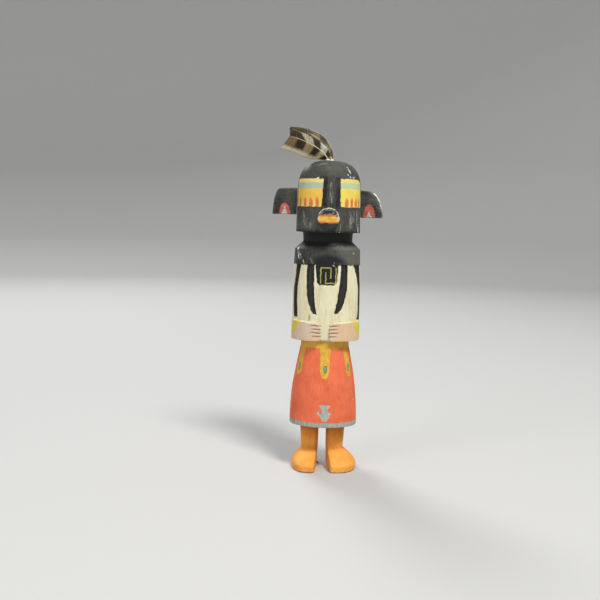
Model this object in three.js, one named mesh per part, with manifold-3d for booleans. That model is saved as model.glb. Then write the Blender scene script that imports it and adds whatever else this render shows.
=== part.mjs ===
// A carved and painted kachina doll: a masked figure in cottonwood root, with glued-on ears and snout,
// and two barred feathers set in its crown.
// Millimetres, +Z up. The doll stands on its boots and faces -Y, so -X is its right hand side.
// The origin is on the floor, under the middle of the whole outline.

import * as THREE from "three";
import { mergeVertices } from "three/addons/utils/BufferGeometryUtils.js";
import Module from "manifold-3d";

const wasm = await Module();
wasm.setup();

// ---------------------------------------------------------------- sizes

const GAP = 0.3; // between a glued-on piece and what it sits against
const FAR_FRONT = -40; // a depth in front of the whole figure, where cutting outlines start
const BODY_SEGMENTS = 44;
const BOOT_SEGMENTS = 28;

// Sections of the figure: half width, depth before and behind the axis, and squareness (2 is an ellipse).
const HEM = { z: 35.5, side: 27.1, front: 25.5, back: 24, square: 2.15 };
const WAIST = { z: 98.5, side: 19.2, front: 18.8, back: 18.2, square: 2.2 };
const BELT_TOP = { ...WAIST, z: 104 };
const CHEST_EDGE = { z: 104, side: 27.1, front: 20.8, back: 19.4, square: 2.4 };
const COLLAR = { z: 162, side: 26.6, front: 21.6, back: 20.6, square: 2.4 };
const SHOULDER = { z: 175.2, side: 26, front: 21.2, back: 20.2, square: 2.4 };
const NECK_FOOT = { z: 181.2, side: 19.4, front: 17.4, back: 17, square: 2.2 };
const NECK_HEAD = { z: 188.5, side: 19.9, front: 17.6, back: 17.4, square: 2.2 };
const MASK_RIM = { z: 188.5, side: 25.4, front: 23.9, back: 22.8, square: 2.3 };
const MASK_BROW = { z: 221, side: 24.9, front: 23.4, back: 22.4, square: 2.3 };

const CROWN_Z = 245;
const DOME_SQUARE = 2.75; // fullness of the dome's side view
const DOME_STEPS = 8;
const DOME_END = 0.955; // share of the quarter turn at which the crown is cut flat
const SKIRT_STEPS = 8;
const SKIRT_CURVE = 1.9; // how late the skirt draws in to the waist

// Folded arms, in low relief on the chest
const ARM_RISE_FRONT = 2.4;
const ARM_RISE_SIDE = 0.3;
const ARM_BACK_Y = 6;
const HAND = { foot: 103.5, thumb: 112.6, top: 118, wristTop: 119.6, littleCorner: 2.6, knuckleCorner: 4.2 };
const FINGER_END = { right: 4.6, left: 2.6 }; // how far short of the middle each hand stops
const FINGER_LENGTHS = [8.4, 7.2, 8.2, 6.4];
const FINGER_PITCH = 2.75;
const FINGER_GROOVE = { width: 0.9, depth: 0.8, top: 115.2, slope: 0.08 };

// Grooves that part the arms from the chest, cut from the front, and from the back, cut from the side.
// Each edge is given by its distance from the axis, in that view, at the groove heights.
const GROOVE_DEPTH = 1.3;
const GROOVE_HEIGHTS = [163.5, 146, 132];
const FRONT_GROOVES = [
  { side: -1, outer: [15.5, 15.9, 14], inner: [10.6, 10.5, 9.3], tip: [8, 124.9] },
  { side: 1, outer: [15.2, 15.4, 12.6], inner: [10.8, 9.8, 7.8], tip: [7.2, 125.2] },
];
const SIDE_GROOVES = [
  { side: -1, outer: [15.4, 12.8, 12.8], inner: [11.6, 9.2, 9.3], tip: [11.6, 121] },
  { side: 1, outer: [15.9, 10.2, 9.7], inner: [10.5, 6, 5.4], tip: [8.6, 119.9] },
];

// Legs and boots, each with its own size, as the carver left them
const LEG_SQUARE = { innerSquare: 3.4, outerSquare: 2.8 };
const LEG_TOP = { z: 37, inner: 7.3, outer: 7.9, front: 9.6, back: 7.8, ...LEG_SQUARE };
const ANKLE = { z: 14.8, inner: 7, outer: 6.6, front: 9.2, back: 7.4, ...LEG_SQUARE };
const BOOT_SQUARE = { innerSquare: 9, outerSquare: 2.3 };
const BOOT_EDGE_Z = 5; // top of the boot's upright wall, where the instep starts
const BOOT_ROUND = 0.9; // rounding of the sole's edge
const BOOT_Y = -1;
const TOE_OUT = THREE.MathUtils.degToRad(4);
const INSTEP_STEPS = 5;
const INSTEP_CURVE = 1.3; // how full the instep is
const BOOTS = [
  { side: -1, centre: 10.4, inner: 6.2, outer: 13.7, toe: 28.3, heel: 11 },
  { side: 1, centre: 10, inner: 6, outer: 17.2, toe: 27.3, heel: 11 },
];

// Ears: flat boards with a rounded outer corner and a straight lower edge
const EAR_THICKNESS = 4.4;
const EAR_BEVEL = 0.6;
const EAR_ROOT_X = 20;
const EARS = [
  { name: "ear_right", side: -1, reach: 44.6, foot: 202, top: 223, cornerX: 6, cornerZ: 15, lean: 0.8 },
  { name: "ear_left", side: 1, reach: 43.3, foot: 200.6, top: 222, cornerX: 12, cornerZ: 17, lean: 1.2 },
];

const SNOUT = { x: -0.8, z: 199.1, radius: 8.6, tipRadius: 7.9, reach: 34.5, root: 18, facets: 12 };

// Two feathers: a rachis from the crown to the tip, and a vane of barbs that sweep towards the tip
const QUILL_RADIUS = 0.6;
const QUILL_SIDES = 8;
const QUILL_STEPS = 12;
const SOCKET = { radius: 1.05, depth: 5, sides: 16 };
const VANE = { thickness: 0.7, across: 6, along: 14 };
const FEATHERS = [
  {
    name: "feather_front",
    foot: [-1.6, -1.1],
    bend: [-6, -2.6, 256],
    tip: [-32.4, -5.5, 263.4],
    sweep: THREE.MathUtils.degToRad(20),
    lowerWidth: 13,
    upperWidth: 6,
    swell: 0.45,
    end: 0.56,
    camber: 1.2,
  },
  {
    name: "feather_back",
    foot: [1.6, 1.1],
    bend: [-5, 3, 260],
    tip: [-32.4, 4.5, 270.4],
    sweep: THREE.MathUtils.degToRad(28),
    lowerWidth: 8,
    upperWidth: 7.6,
    swell: 0.9,
    end: 0.96,
    camber: -1,
  },
];

// ---------------------------------------------------------------- tools

/** A Manifold solid from a closed three.js geometry. */
function solid(geometry) {
  const bare = new THREE.BufferGeometry();
  bare.setAttribute("position", geometry.attributes.position);
  bare.setIndex(geometry.index);
  const merged = mergeVertices(bare, 1e-4);
  const corners = merged.index.array;
  const triangles = [];
  for (let i = 0; i < corners.length; i += 3) {
    const [a, b, c] = corners.slice(i, i + 3);
    if (a !== b && b !== c && c !== a) triangles.push(a, b, c);
  }
  const mesh = new wasm.Mesh({
    numProp: 3,
    vertProperties: new Float32Array(merged.attributes.position.array),
    triVerts: new Uint32Array(triangles),
  });
  return new wasm.Manifold(mesh);
}

/** A named mesh from a Manifold solid. */
function piece(name, shape, material) {
  const { vertProperties, triVerts } = shape.getMesh();
  const geometry = new THREE.BufferGeometry();
  geometry.setAttribute("position", new THREE.BufferAttribute(vertProperties, 3));
  geometry.setIndex(new THREE.BufferAttribute(triVerts, 1));
  const mesh = new THREE.Mesh(geometry, material);
  mesh.name = name;
  return mesh;
}

/** Every number of section a moved towards section b by t. */
function between(a, b, t) {
  return Object.fromEntries(Object.keys(a).map((key) => [key, THREE.MathUtils.lerp(a[key], b[key], t)]));
}

/** One coordinate of a superellipse: c is the cosine or sine of the angle. */
function round(c, half, square) {
  if (Math.abs(c) < 1e-6) return 0;
  return Math.sign(c) * half * Math.abs(c) ** (2 / square);
}

/** A ring of a loft from a section that is the same on both sides, widened by growSide and growFront. */
function evenRing({ z, side, front, back, square }, growSide = 0, growFront = growSide) {
  const reach = side + growSide;
  return {
    z,
    left: reach,
    right: reach,
    front: front + growFront,
    back: back + growSide,
    leftSquare: square,
    rightSquare: square,
  };
}

/** A closed skin through a stack of rings: a lathe whose round sections take on each ring's form. */
function loft(rings, segments) {
  const profile = rings.map((_, level) => new THREE.Vector2(1, level));
  const ends = [new THREE.Vector2(0, 0), new THREE.Vector2(0, rings.length - 1)];
  const skin = new THREE.LatheGeometry([ends[0], ...profile, ends[1]], segments);
  const position = skin.attributes.position;
  for (let i = 0; i < position.count; i++) {
    const at = rings[Math.round(position.getY(i))];
    const [across, along] = [position.getX(i), -position.getZ(i)];
    const square = across < 0 ? at.leftSquare : at.rightSquare;
    const width = across < 0 ? at.left : at.right;
    const depth = along < 0 ? at.front : at.back;
    position.setXYZ(i, round(across, width, square), round(along, depth, square), at.z);
  }
  return skin;
}

/** An outline drawn in the front view (x, z), run through the figure from one depth to another. */
function stencil(outline, from, to, bevel = 0) {
  const board = new THREE.ExtrudeGeometry(outline, {
    depth: to - from - 2 * bevel,
    curveSegments: 8,
    bevelEnabled: bevel > 0,
    bevelThickness: bevel,
    bevelSize: bevel,
    bevelOffset: -bevel,
    bevelSegments: 1,
  });
  return board.rotateX(Math.PI / 2).translate(0, to - bevel, 0);
}

// ---------------------------------------------------------------- the carved figure

/** The rings from the hem to the crown, each widened by grow. */
function figureRings(grow = 0) {
  const skirt = [];
  for (let step = 0; step < SKIRT_STEPS; step++) {
    const rise = step / SKIRT_STEPS;
    const section = between(HEM, WAIST, rise ** SKIRT_CURVE);
    skirt.push({ ...section, z: THREE.MathUtils.lerp(HEM.z, WAIST.z, rise) });
  }
  const trunk = [WAIST, BELT_TOP, CHEST_EDGE, COLLAR, SHOULDER];
  const head = [NECK_FOOT, NECK_HEAD, MASK_RIM, MASK_BROW];
  const dome = [];
  for (let step = 1; step <= DOME_STEPS; step++) {
    const angle = (Math.PI / 2) * DOME_END * (step / DOME_STEPS);
    const scale = round(Math.cos(angle), 1, DOME_SQUARE);
    dome.push({
      z: MASK_BROW.z + round(Math.sin(angle), CROWN_Z - MASK_BROW.z, DOME_SQUARE),
      side: MASK_BROW.side * scale,
      front: MASK_BROW.front * scale,
      back: MASK_BROW.back * scale,
      square: THREE.MathUtils.lerp(MASK_BROW.square, 2, step / DOME_STEPS),
    });
  }
  return [...skirt, ...trunk, ...head, ...dome].map((section) => evenRing(section, grow));
}

/** The upright block of the chest alone, widened at the sides and in front. */
function chestBlock(growSide, growFront) {
  const sections = [{ ...CHEST_EDGE, z: WAIST.z }, CHEST_EDGE, COLLAR, { ...COLLAR, z: SHOULDER.z }];
  const rings = sections.map((section) => evenRing(section, growSide, growFront));
  return solid(loft(rings, BODY_SEGMENTS));
}

/** The front view of one forearm and hand, from the elbow to the finger ends. */
function handOutline(side) {
  const end = side < 0 ? FINGER_END.right : FINGER_END.left;
  const elbow = CHEST_EDGE.side + 5;
  const littleFinger = end + HAND.littleCorner;
  const knuckle = end + HAND.knuckleCorner;
  const outline = new THREE.Shape();
  outline.moveTo(side * elbow, HAND.foot);
  outline.lineTo(side * littleFinger, HAND.foot);
  outline.quadraticCurveTo(side * end, HAND.foot, side * end, HAND.foot + HAND.littleCorner);
  outline.lineTo(side * end, HAND.thumb);
  outline.quadraticCurveTo(side * end, HAND.top - 1, side * knuckle, HAND.top);
  outline.lineTo(side * elbow, HAND.wristTop);
  return outline;
}

/** A thin tapering bar in the front view, from a finger's root to its end. */
function fingerLine(side, index) {
  const { width, top, slope } = FINGER_GROOVE;
  const end = (side < 0 ? FINGER_END.right : FINGER_END.left) - 0.4;
  const root = end + FINGER_LENGTHS[index];
  const z = top - index * FINGER_PITCH;
  const outline = new THREE.Shape();
  outline.moveTo(side * end, z - width / 2);
  outline.lineTo(side * root, z + slope * FINGER_LENGTHS[index]);
  outline.lineTo(side * end, z + width / 2);
  return outline;
}

/** The outline of a groove beside an arm, drawn in to a tip near the elbow. */
function grooveOutline(side, { outer, inner, tip }) {
  const edge = (reaches) => reaches.map((x, i) => new THREE.Vector2(side * x, GROOVE_HEIGHTS[i]));
  const outline = new THREE.Shape();
  outline.moveTo(side * outer[0], GROOVE_HEIGHTS[0]);
  outline.splineThru([...edge(outer).slice(1), new THREE.Vector2(side * tip[0], tip[1])]);
  outline.splineThru(edge(inner).reverse());
  return outline;
}

/** One leg with its boot: the sole's outline draws in over the instep and goes up to the hem. */
function legAndBoot({ side, centre, inner, outer, toe, heel }) {
  const sole = { z: BOOT_EDGE_Z, inner, outer, front: toe, back: heel, ...BOOT_SQUARE };
  const levels = [
    {
      ...sole,
      z: 0,
      inner: inner - BOOT_ROUND,
      outer: outer - BOOT_ROUND,
      front: toe - BOOT_ROUND,
      back: heel - BOOT_ROUND,
    },
    { ...sole, z: BOOT_ROUND },
  ];
  for (let step = 0; step <= INSTEP_STEPS; step++) {
    const rise = step / INSTEP_STEPS;
    const z = THREE.MathUtils.lerp(BOOT_EDGE_Z, ANKLE.z, rise);
    levels.push({ ...between(sole, ANKLE, rise ** INSTEP_CURVE), z });
  }
  levels.push(LEG_TOP);
  const rings = levels.map((level) => {
    const outerIsLeft = side < 0;
    return {
      z: level.z,
      front: level.front,
      back: level.back,
      left: outerIsLeft ? level.outer : level.inner,
      right: outerIsLeft ? level.inner : level.outer,
      leftSquare: outerIsLeft ? level.outerSquare : level.innerSquare,
      rightSquare: outerIsLeft ? level.innerSquare : level.outerSquare,
    };
  });
  const skin = loft(rings, BOOT_SEGMENTS).rotateZ(side * TOE_OUT);
  return solid(skin.translate(side * centre, BOOT_Y, 0));
}

/** A round hole in the crown for a feather's quill. */
function socket([x, y]) {
  const drill = new THREE.CylinderGeometry(SOCKET.radius, SOCKET.radius, 2 * SOCKET.depth, SOCKET.sides);
  return solid(drill.rotateX(Math.PI / 2).translate(x, y, CROWN_Z));
}

function figure() {
  let body = solid(loft(figureRings(), BODY_SEGMENTS));
  for (const boot of BOOTS) body = body.add(legAndBoot(boot));

  const sunken = chestBlock(-GROOVE_DEPTH, -GROOVE_DEPTH);
  const raised = chestBlock(ARM_RISE_SIDE, ARM_RISE_FRONT);
  const fingerBed = chestBlock(0, ARM_RISE_FRONT - FINGER_GROOVE.depth);
  for (const groove of FRONT_GROOVES) {
    const cut = solid(stencil(grooveOutline(groove.side, groove), FAR_FRONT, 0));
    body = body.subtract(cut.subtract(sunken));
  }
  for (const groove of SIDE_GROOVES) {
    const cutter = stencil(grooveOutline(-groove.side, groove), FAR_FRONT, 0);
    const cut = solid(cutter.rotateZ((groove.side * Math.PI) / 2));
    body = body.subtract(cut.subtract(sunken));
  }
  for (const side of [-1, 1]) {
    let hand = solid(stencil(handOutline(side), FAR_FRONT, ARM_BACK_Y)).intersect(raised);
    for (let finger = 0; finger < FINGER_LENGTHS.length; finger++) {
      const cut = solid(stencil(fingerLine(side, finger), FAR_FRONT, 0));
      hand = hand.subtract(cut.subtract(fingerBed));
    }
    body = body.add(hand);
  }
  for (const feather of FEATHERS) body = body.subtract(socket(feather.foot));
  return body;
}

// ---------------------------------------------------------------- glued-on pieces

/** An ear board, its inner edge cut to the side of the mask. */
function ear({ side, reach, foot, top, cornerX, cornerZ, lean }, clearance) {
  const outline = new THREE.Shape();
  outline.moveTo(side * EAR_ROOT_X, foot);
  outline.lineTo(side * reach, foot);
  outline.bezierCurveTo(
    side * (reach - lean), top - cornerZ * 0.45,
    side * (reach - cornerX * 0.45), top - 0.5,
    side * (reach - cornerX), top - 0.2,
  );
  outline.lineTo(side * EAR_ROOT_X, top + 0.6);
  const board = solid(stencil(outline, -EAR_THICKNESS / 2, EAR_THICKNESS / 2, EAR_BEVEL));
  return board.subtract(clearance);
}

/** The whittled snout: a short faceted plug whose back is cut to the face. */
function snout(clearance) {
  const length = SNOUT.reach - SNOUT.root;
  const chamfer = SNOUT.radius - SNOUT.tipRadius;
  const profile = [
    [0, 0],
    [SNOUT.radius, 0],
    [SNOUT.radius, length - chamfer],
    [SNOUT.tipRadius, length],
    [0, length],
  ].map(([r, y]) => new THREE.Vector2(r, y));
  const plug = new THREE.LatheGeometry(profile, SNOUT.facets);
  plug.rotateX(Math.PI).translate(SNOUT.x, -SNOUT.root, SNOUT.z);
  return solid(plug).subtract(clearance);
}

// ---------------------------------------------------------------- feathers

/** The line of a feather's rachis, from its socket to its tip. */
function rachis({ foot, bend, tip }) {
  const root = new THREE.Vector3(...foot, CROWN_Z - SOCKET.depth + GAP);
  const mouth = new THREE.Vector3(...foot, CROWN_Z + 0.5);
  const path = new THREE.CurvePath();
  path.add(new THREE.LineCurve3(root, mouth));
  path.add(new THREE.QuadraticBezierCurve3(mouth, new THREE.Vector3(...bend), new THREE.Vector3(...tip)));
  return path;
}

/** How wide a vane is at a share of its length, as a share of its full width. */
function fullness(along, { swell, end }) {
  return Math.sin(Math.PI * THREE.MathUtils.lerp(0.06, end, along ** swell));
}

/** The vane: a thin box bent to the rachis, each row of it swept forward as the barbs are. */
function vane(feather) {
  const line = rachis(feather).curves[1];
  const sheet = new THREE.BoxGeometry(2, 2, 1, VANE.across, 1, VANE.along);
  const position = sheet.attributes.position;
  const backward = new THREE.Vector3(0, 1, 0);
  for (let i = 0; i < position.count; i++) {
    const across = position.getX(i);
    const along = position.getZ(i) + 0.5;
    const ahead = line.getTangent(along);
    const outward = new THREE.Vector3().crossVectors(backward, ahead).setLength(Math.sign(across));
    const share = fullness(along, feather) * Math.abs(across);
    const width = (across < 0 ? feather.lowerWidth : feather.upperWidth) * share;
    const point = line.getPoint(along)
      .addScaledVector(outward, width * Math.cos(feather.sweep))
      .addScaledVector(ahead, width * Math.sin(feather.sweep));
    point.y += (position.getY(i) * VANE.thickness) / 2 + feather.camber * share * share;
    position.setXYZ(i, point.x, point.y, point.z);
  }
  return solid(sheet);
}

function quill(feather) {
  const round8 = new THREE.Shape().absarc(0, 0, QUILL_RADIUS, 0, 2 * Math.PI);
  const rod = new THREE.ExtrudeGeometry(round8, {
    steps: QUILL_STEPS,
    curveSegments: QUILL_SIDES,
    bevelEnabled: false,
    extrudePath: rachis(feather),
  });
  return solid(rod);
}

// ---------------------------------------------------------------- the doll

const paintedWood = new THREE.MeshStandardMaterial({ color: 0xdbd3b4, roughness: 0.75, metalness: 0 });
const blackPaint = new THREE.MeshStandardMaterial({ color: 0x3f3e3b, roughness: 0.6, metalness: 0 });
const barredFeather = new THREE.MeshStandardMaterial({ color: 0x8a7858, roughness: 0.8, metalness: 0 });

const doll = new THREE.Group();
const clearance = solid(loft(figureRings(GAP), BODY_SEGMENTS));
doll.add(piece("body", figure(), paintedWood));
for (const board of EARS) doll.add(piece(board.name, ear(board, clearance), blackPaint));
doll.add(piece("snout", snout(clearance), blackPaint));
for (const feather of FEATHERS) {
  doll.add(piece(feather.name, vane(feather).add(quill(feather)), barredFeather));
}

const outline = new THREE.Box3().setFromObject(doll);
const middle = outline.getCenter(new THREE.Vector3());
doll.position.set(-middle.x, -middle.y, -outline.min.z);

export default doll;
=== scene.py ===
"""The finish of a carved kachina doll: knife-worked cottonwood under brushed paint, and barred feathers.

Metres, +Z up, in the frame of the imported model. The doll faces -Y, so -X is its own right.
Places on the doll are in millimetres from its upright axis, or in degrees round it from the front.
"""
import math
import random

import bmesh
import bpy
import numpy as np
from mathutils import Matrix, Vector, noise
from mathutils.bvhtree import BVHTree


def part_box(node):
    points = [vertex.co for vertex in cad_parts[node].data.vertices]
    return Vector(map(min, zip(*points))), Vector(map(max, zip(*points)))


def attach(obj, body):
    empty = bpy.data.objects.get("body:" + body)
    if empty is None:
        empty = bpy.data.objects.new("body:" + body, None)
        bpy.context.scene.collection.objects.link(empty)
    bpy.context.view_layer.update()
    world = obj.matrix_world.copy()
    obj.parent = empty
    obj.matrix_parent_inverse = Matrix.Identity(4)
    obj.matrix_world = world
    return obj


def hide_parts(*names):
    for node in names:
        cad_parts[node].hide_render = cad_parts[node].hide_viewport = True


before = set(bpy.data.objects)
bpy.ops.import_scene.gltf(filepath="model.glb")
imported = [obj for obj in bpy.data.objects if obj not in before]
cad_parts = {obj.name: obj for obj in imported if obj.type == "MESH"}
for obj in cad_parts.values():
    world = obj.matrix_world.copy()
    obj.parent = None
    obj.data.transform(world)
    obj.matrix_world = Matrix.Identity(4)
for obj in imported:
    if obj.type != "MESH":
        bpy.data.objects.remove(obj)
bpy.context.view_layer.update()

MM = 0.001
BODY_LOW, BODY_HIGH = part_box("body")
SKIRT_BACK = 24  # from the axis to the back of the hem
AXIS = Vector(((BODY_LOW.x + BODY_HIGH.x) / 2, BODY_HIGH.y - SKIRT_BACK * MM, 0))
CROWN = BODY_HIGH.z / MM

random.seed(11)


# ---------------------------------------------------------------- shader arithmetic


class Field:
    """A number, colour or vector that varies over a surface: a socket of a node tree, with arithmetic."""

    def __init__(self, tree, socket):
        self.tree = tree
        self.socket = socket

    def node(self, kind, inputs, output=0, **settings):
        """Adds a node to the same tree and gives one of its outputs. Inputs are by name or number."""
        made = self.tree.nodes.new(kind)
        for name, value in settings.items():
            setattr(made, name, value)
        for key, value in inputs.items():
            if isinstance(value, Field):
                self.tree.links.new(value.socket, made.inputs[key])
            else:
                made.inputs[key].default_value = value
        return Field(self.tree, made.outputs[output])

    def math(self, operation, *others, clamp=False):
        values = dict(enumerate((self, *others)))
        return self.node("ShaderNodeMath", values, operation=operation, use_clamp=clamp)

    def vector(self, operation, *others, output=0):
        values = dict(enumerate((self, *others)))
        return self.node("ShaderNodeVectorMath", values, operation=operation, output=output)

    def __add__(self, other):
        return self.math("ADD", other)

    def __sub__(self, other):
        return self.math("SUBTRACT", other)

    def __mul__(self, other):
        return self.math("MULTIPLY", other)

    def __truediv__(self, other):
        return self.math("DIVIDE", other)

    def __neg__(self):
        return self * -1

    def __or__(self, other):
        """The union of two masks."""
        return self.math("MAXIMUM", other)

    def __and__(self, other):
        """What two masks share."""
        return self.math("MINIMUM", other)

    def absolute(self):
        return self.math("ABSOLUTE")

    def hypot(self, other):
        """How far a place is from the middle, from two of its numbers."""
        return (self * self + other * other).math("SQRT")

    def degrees_from(self, other):
        """The angle of a place round the middle: degrees from the other number's axis towards this one's."""
        return self.math("ARCTAN2", other) * (180 / math.pi)

    def outside(self):
        """The mask of everything else."""
        return self.node("ShaderNodeMath", {0: 1.0, 1: self}, operation="SUBTRACT", use_clamp=True)

    def above(self, level, soft=0.3):
        """A mask that turns from 0 to 1 as the number rises past a level, over a soft width."""
        values = {"Value": self, "From Min": level - soft / 2, "From Max": level + soft / 2}
        return self.node("ShaderNodeMapRange", values, interpolation_type="SMOOTHSTEP")

    def below(self, level, soft=0.3):
        return (-self).above(-level, soft)

    def between(self, low, high, soft=0.3):
        return self.above(low, soft) & self.below(high, soft)

    def ramp(self, low, high):
        """The number from a low to a high value, as 0 to 1."""
        return self.node("ShaderNodeMapRange", {"Value": self, "From Min": low, "From Max": high})

    def spread(self, low, high):
        """A number from 0 to 1, as a low to a high value."""
        return self.node("ShaderNodeMapRange", {"Value": self, "To Min": low, "To Max": high})

    def follow(self, *points):
        """The value of an outline at this number, from (number, value) points in rising order."""
        starts, values = zip(*points)
        low, high = min(values), max(values)
        bend = self.tree.nodes.new("ShaderNodeFloatCurve")
        curve = bend.mapping.curves[0]
        for _ in points[2:]:
            curve.points.new(0.5, 0.5)
        for dot, (start, value) in zip(curve.points, points):
            dot.location = ((start - starts[0]) / (starts[-1] - starts[0]), (value - low) / (high - low))
        bend.mapping.update()
        self.tree.links.new(self.ramp(starts[0], starts[-1]).socket, bend.inputs["Value"])
        return Field(self.tree, bend.outputs[0]).spread(low, high)

    def mixed(self, other, share):
        """This number, turning into another as the share goes from 0 to 1."""
        return self.node("ShaderNodeMix", {0: share, 2: self, 3: other}, data_type="FLOAT")

    def over(self, ground, mask):
        """This colour laid over a ground wherever the mask is 1."""
        return self.node("ShaderNodeMix", {0: mask, 6: ground, 7: self}, output=2, data_type="RGBA")

    def times(self, shade):
        """A colour made darker or lighter by a number."""
        return self.vector("MULTIPLY", shade)

    def parts(self):
        """The three numbers of a vector."""
        split = self.tree.nodes.new("ShaderNodeSeparateXYZ")
        self.tree.links.new(self.socket, split.inputs[0])
        return [Field(self.tree, output) for output in split.outputs]

    def stretched(self, x, y, z):
        """A place, scaled along each axis."""
        return self.vector("MULTIPLY", (x, y, z))

    def shifted(self, offset):
        return self.vector("ADD", offset)

    def noise(self, scale, detail=2.0, rough=0.5, output=0):
        """Soft noise around 0.5 at a place, with its scale in cycles a millimetre."""
        values = {"Vector": self, "Scale": scale, "Detail": detail, "Roughness": rough}
        return self.node("ShaderNodeTexNoise", values, output=output)


def linear(code):
    """The linear red, green and blue of a hexadecimal sRGB code."""
    shares = [int(code[i : i + 2], 16) / 255 for i in (0, 2, 4)]
    return [s / 12.92 if s <= 0.04045 else ((s + 0.055) / 1.055) ** 2.4 for s in shares]


def colour(tree, code):
    """A constant colour of a tree, from a hexadecimal sRGB code."""
    made = tree.nodes.new("ShaderNodeRGB")
    made.outputs[0].default_value = (*linear(code), 1)
    return Field(tree, made.outputs[0])


def blend(tree, codes, share):
    """A colour between two codes."""
    low, high = codes
    return colour(tree, high).over(colour(tree, low), share)


def attribute(tree, name):
    made = tree.nodes.new("ShaderNodeAttribute")
    made.attribute_name = name
    return Field(tree, made.outputs["Fac"])


def place_on_doll(tree):
    """The place on the surface, in millimetres from the doll's axis."""
    made = tree.nodes.new("ShaderNodeTexCoord")
    here = Field(tree, made.outputs["Object"])
    return here.shifted(tuple(-AXIS)).stretched(1 / MM, 1 / MM, 1 / MM)


def union(masks):
    """The union of masks. A generator keeps the shader small, as each mask is joined once it is made."""
    whole = None
    for mask in masks:
        whole = whole | mask if whole else mask
    return whole


def shared_group(name, inputs, build):
    """A shader node group with named inputs. build takes their fields and gives the named outputs."""
    tree = bpy.data.node_groups.new(name, "ShaderNodeTree")
    for label, kind, value in inputs:
        socket = tree.interface.new_socket(label, in_out="INPUT", socket_type=kind)
        if value is not None:
            socket.default_value = value
    entry = tree.nodes.new("NodeGroupInput")
    results = build(*[Field(tree, output) for output in entry.outputs[: len(inputs)]])
    leave = tree.nodes.new("NodeGroupOutput")
    kinds = {"RGBA": "NodeSocketColor", "VECTOR": "NodeSocketVector", "VALUE": "NodeSocketFloat"}
    for label, field in results.items():
        tree.interface.new_socket(label, in_out="OUTPUT", socket_type=kinds[field.socket.type])
        tree.links.new(field.socket, leave.inputs[label])
    return tree


def use(group, tree, **values):
    """A group placed in a tree, as a dictionary of its outputs."""
    made = tree.nodes.new("ShaderNodeGroup")
    made.node_tree = group
    for key, value in values.items():
        if isinstance(value, Field):
            tree.links.new(value.socket, made.inputs[key])
        else:
            made.inputs[key].default_value = value
    return {output.name: Field(tree, output) for output in made.outputs}


# ---------------------------------------------------------------- effects that several finishes share

THICK_AND_DUST_AND_SHEEN = ("161613", "5a5a54")  # the black where it is thick, and where it is thin and grey: with dustiness, and as painted sheen and light
BARE_WOOD = ("8a6a45", "c9a97c")


def wander(place, scale, detail, most):
    """A noisy step to each side of a place, up to about half of most, in millimetres."""
    return place.noise(scale, detail=detail, output=1).shifted((-0.5, -0.5, -0.5)).stretched(most, most, most)


def build_brushwork(place, run):
    """Paint put on with a small brush: streaks along the run, uneven patches, and edges that waver."""
    hairs = place.vector("MULTIPLY", run).noise(1.0, detail=4, rough=0.6)
    patches = place.noise(0.09, detail=3, rough=0.55)
    waver = wander(place, 0.3, 1, 1.5)
    bristle = wander(place, 1.1, 2, 0.5)
    return {"Hairs": hairs, "Patches": patches, "Edge": place.shifted(waver).shifted(bristle)}


def build_wear(place, edge, hollow, amount):
    """Where paint has gone from edges, where it is only rubbed, and how far hollows are darkened: dirt that
    has stayed, and painted shade.
    """
    broad = place.noise(0.22, detail=3, rough=0.6)
    fine = place.noise(1.3, detail=4, rough=0.65)
    exposed = edge * 0.8 + broad + fine * 0.6 + amount
    hollow_shade_and_dirt = (hollow * 1.1 + broad * 0.5 - 0.35).math("MAXIMUM", 0.0, clamp=True)
    return {"Chipped": exposed.above(2.0, 0.06), "Rubbed": exposed.ramp(1.3, 2.1), "Hollow_shade_and_dirt": hollow_shade_and_dirt}


def build_black(place, hairs, patches, dust_and_light):
    """Thin black paint that greys with dustiness, and on the figure also with painted sheen and light; darker
    where the brush left more of it, and where the figure has painted shade.
    """
    fine = place.noise(0.8, detail=5, rough=0.75)
    tone = hairs * 0.45 + patches * 0.4 + fine * 0.4 - 0.05
    grey_of_dust_and_sheen = blend(place.tree, THICK_AND_DUST_AND_SHEEN, (tone + dust_and_light).ramp(0.4, 0.84))
    return {"Color": grey_of_dust_and_sheen, "Roughness": tone.spread(0.78, 0.5)}


def build_cottonwood(place):
    """Bare cottonwood root: pale, with fine darker lines along its length."""
    grain = place.stretched(1.6, 1.6, 0.05).noise(1.0, detail=3, rough=0.6)
    return {"Color": blend(place.tree, BARE_WOOD, grain.ramp(0.4, 0.75)), "Grain": grain}


NUMBER, POINT = "NodeSocketFloat", "NodeSocketVector"
PLACE = ("Place", POINT, None)
BRUSHWORK = shared_group("brushwork", [PLACE, ("Run", POINT, (1, 1, 0.12))], build_brushwork)
WEAR_INPUTS = [PLACE, ("Edge", NUMBER, 0), ("Hollow", NUMBER, 0), ("Amount", NUMBER, 0)]
WEAR = shared_group("wear", WEAR_INPUTS, build_wear)
BLACK_INPUTS = [PLACE, ("Hairs", NUMBER, 0.5), ("Patches", NUMBER, 0.5), ("Dust", NUMBER, 0)]
BLACK = shared_group("old_black_paint", BLACK_INPUTS, build_black)
COTTONWOOD = shared_group("cottonwood", [PLACE], build_cottonwood)


def new_material(name):
    material = bpy.data.materials.new(name)
    material.use_nodes = True
    return material, material.node_tree


def worn(tree, place, amount):
    """The shared wear, and the darkening in hollows that is dirt and painted shade, driven by the edges and
    hollows that were measured on the mesh.
    """
    edge, hollow = attribute(tree, "edge"), attribute(tree, "hollow")
    return use(WEAR, tree, Place=place, Edge=edge, Hollow=hollow, Amount=amount)


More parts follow.
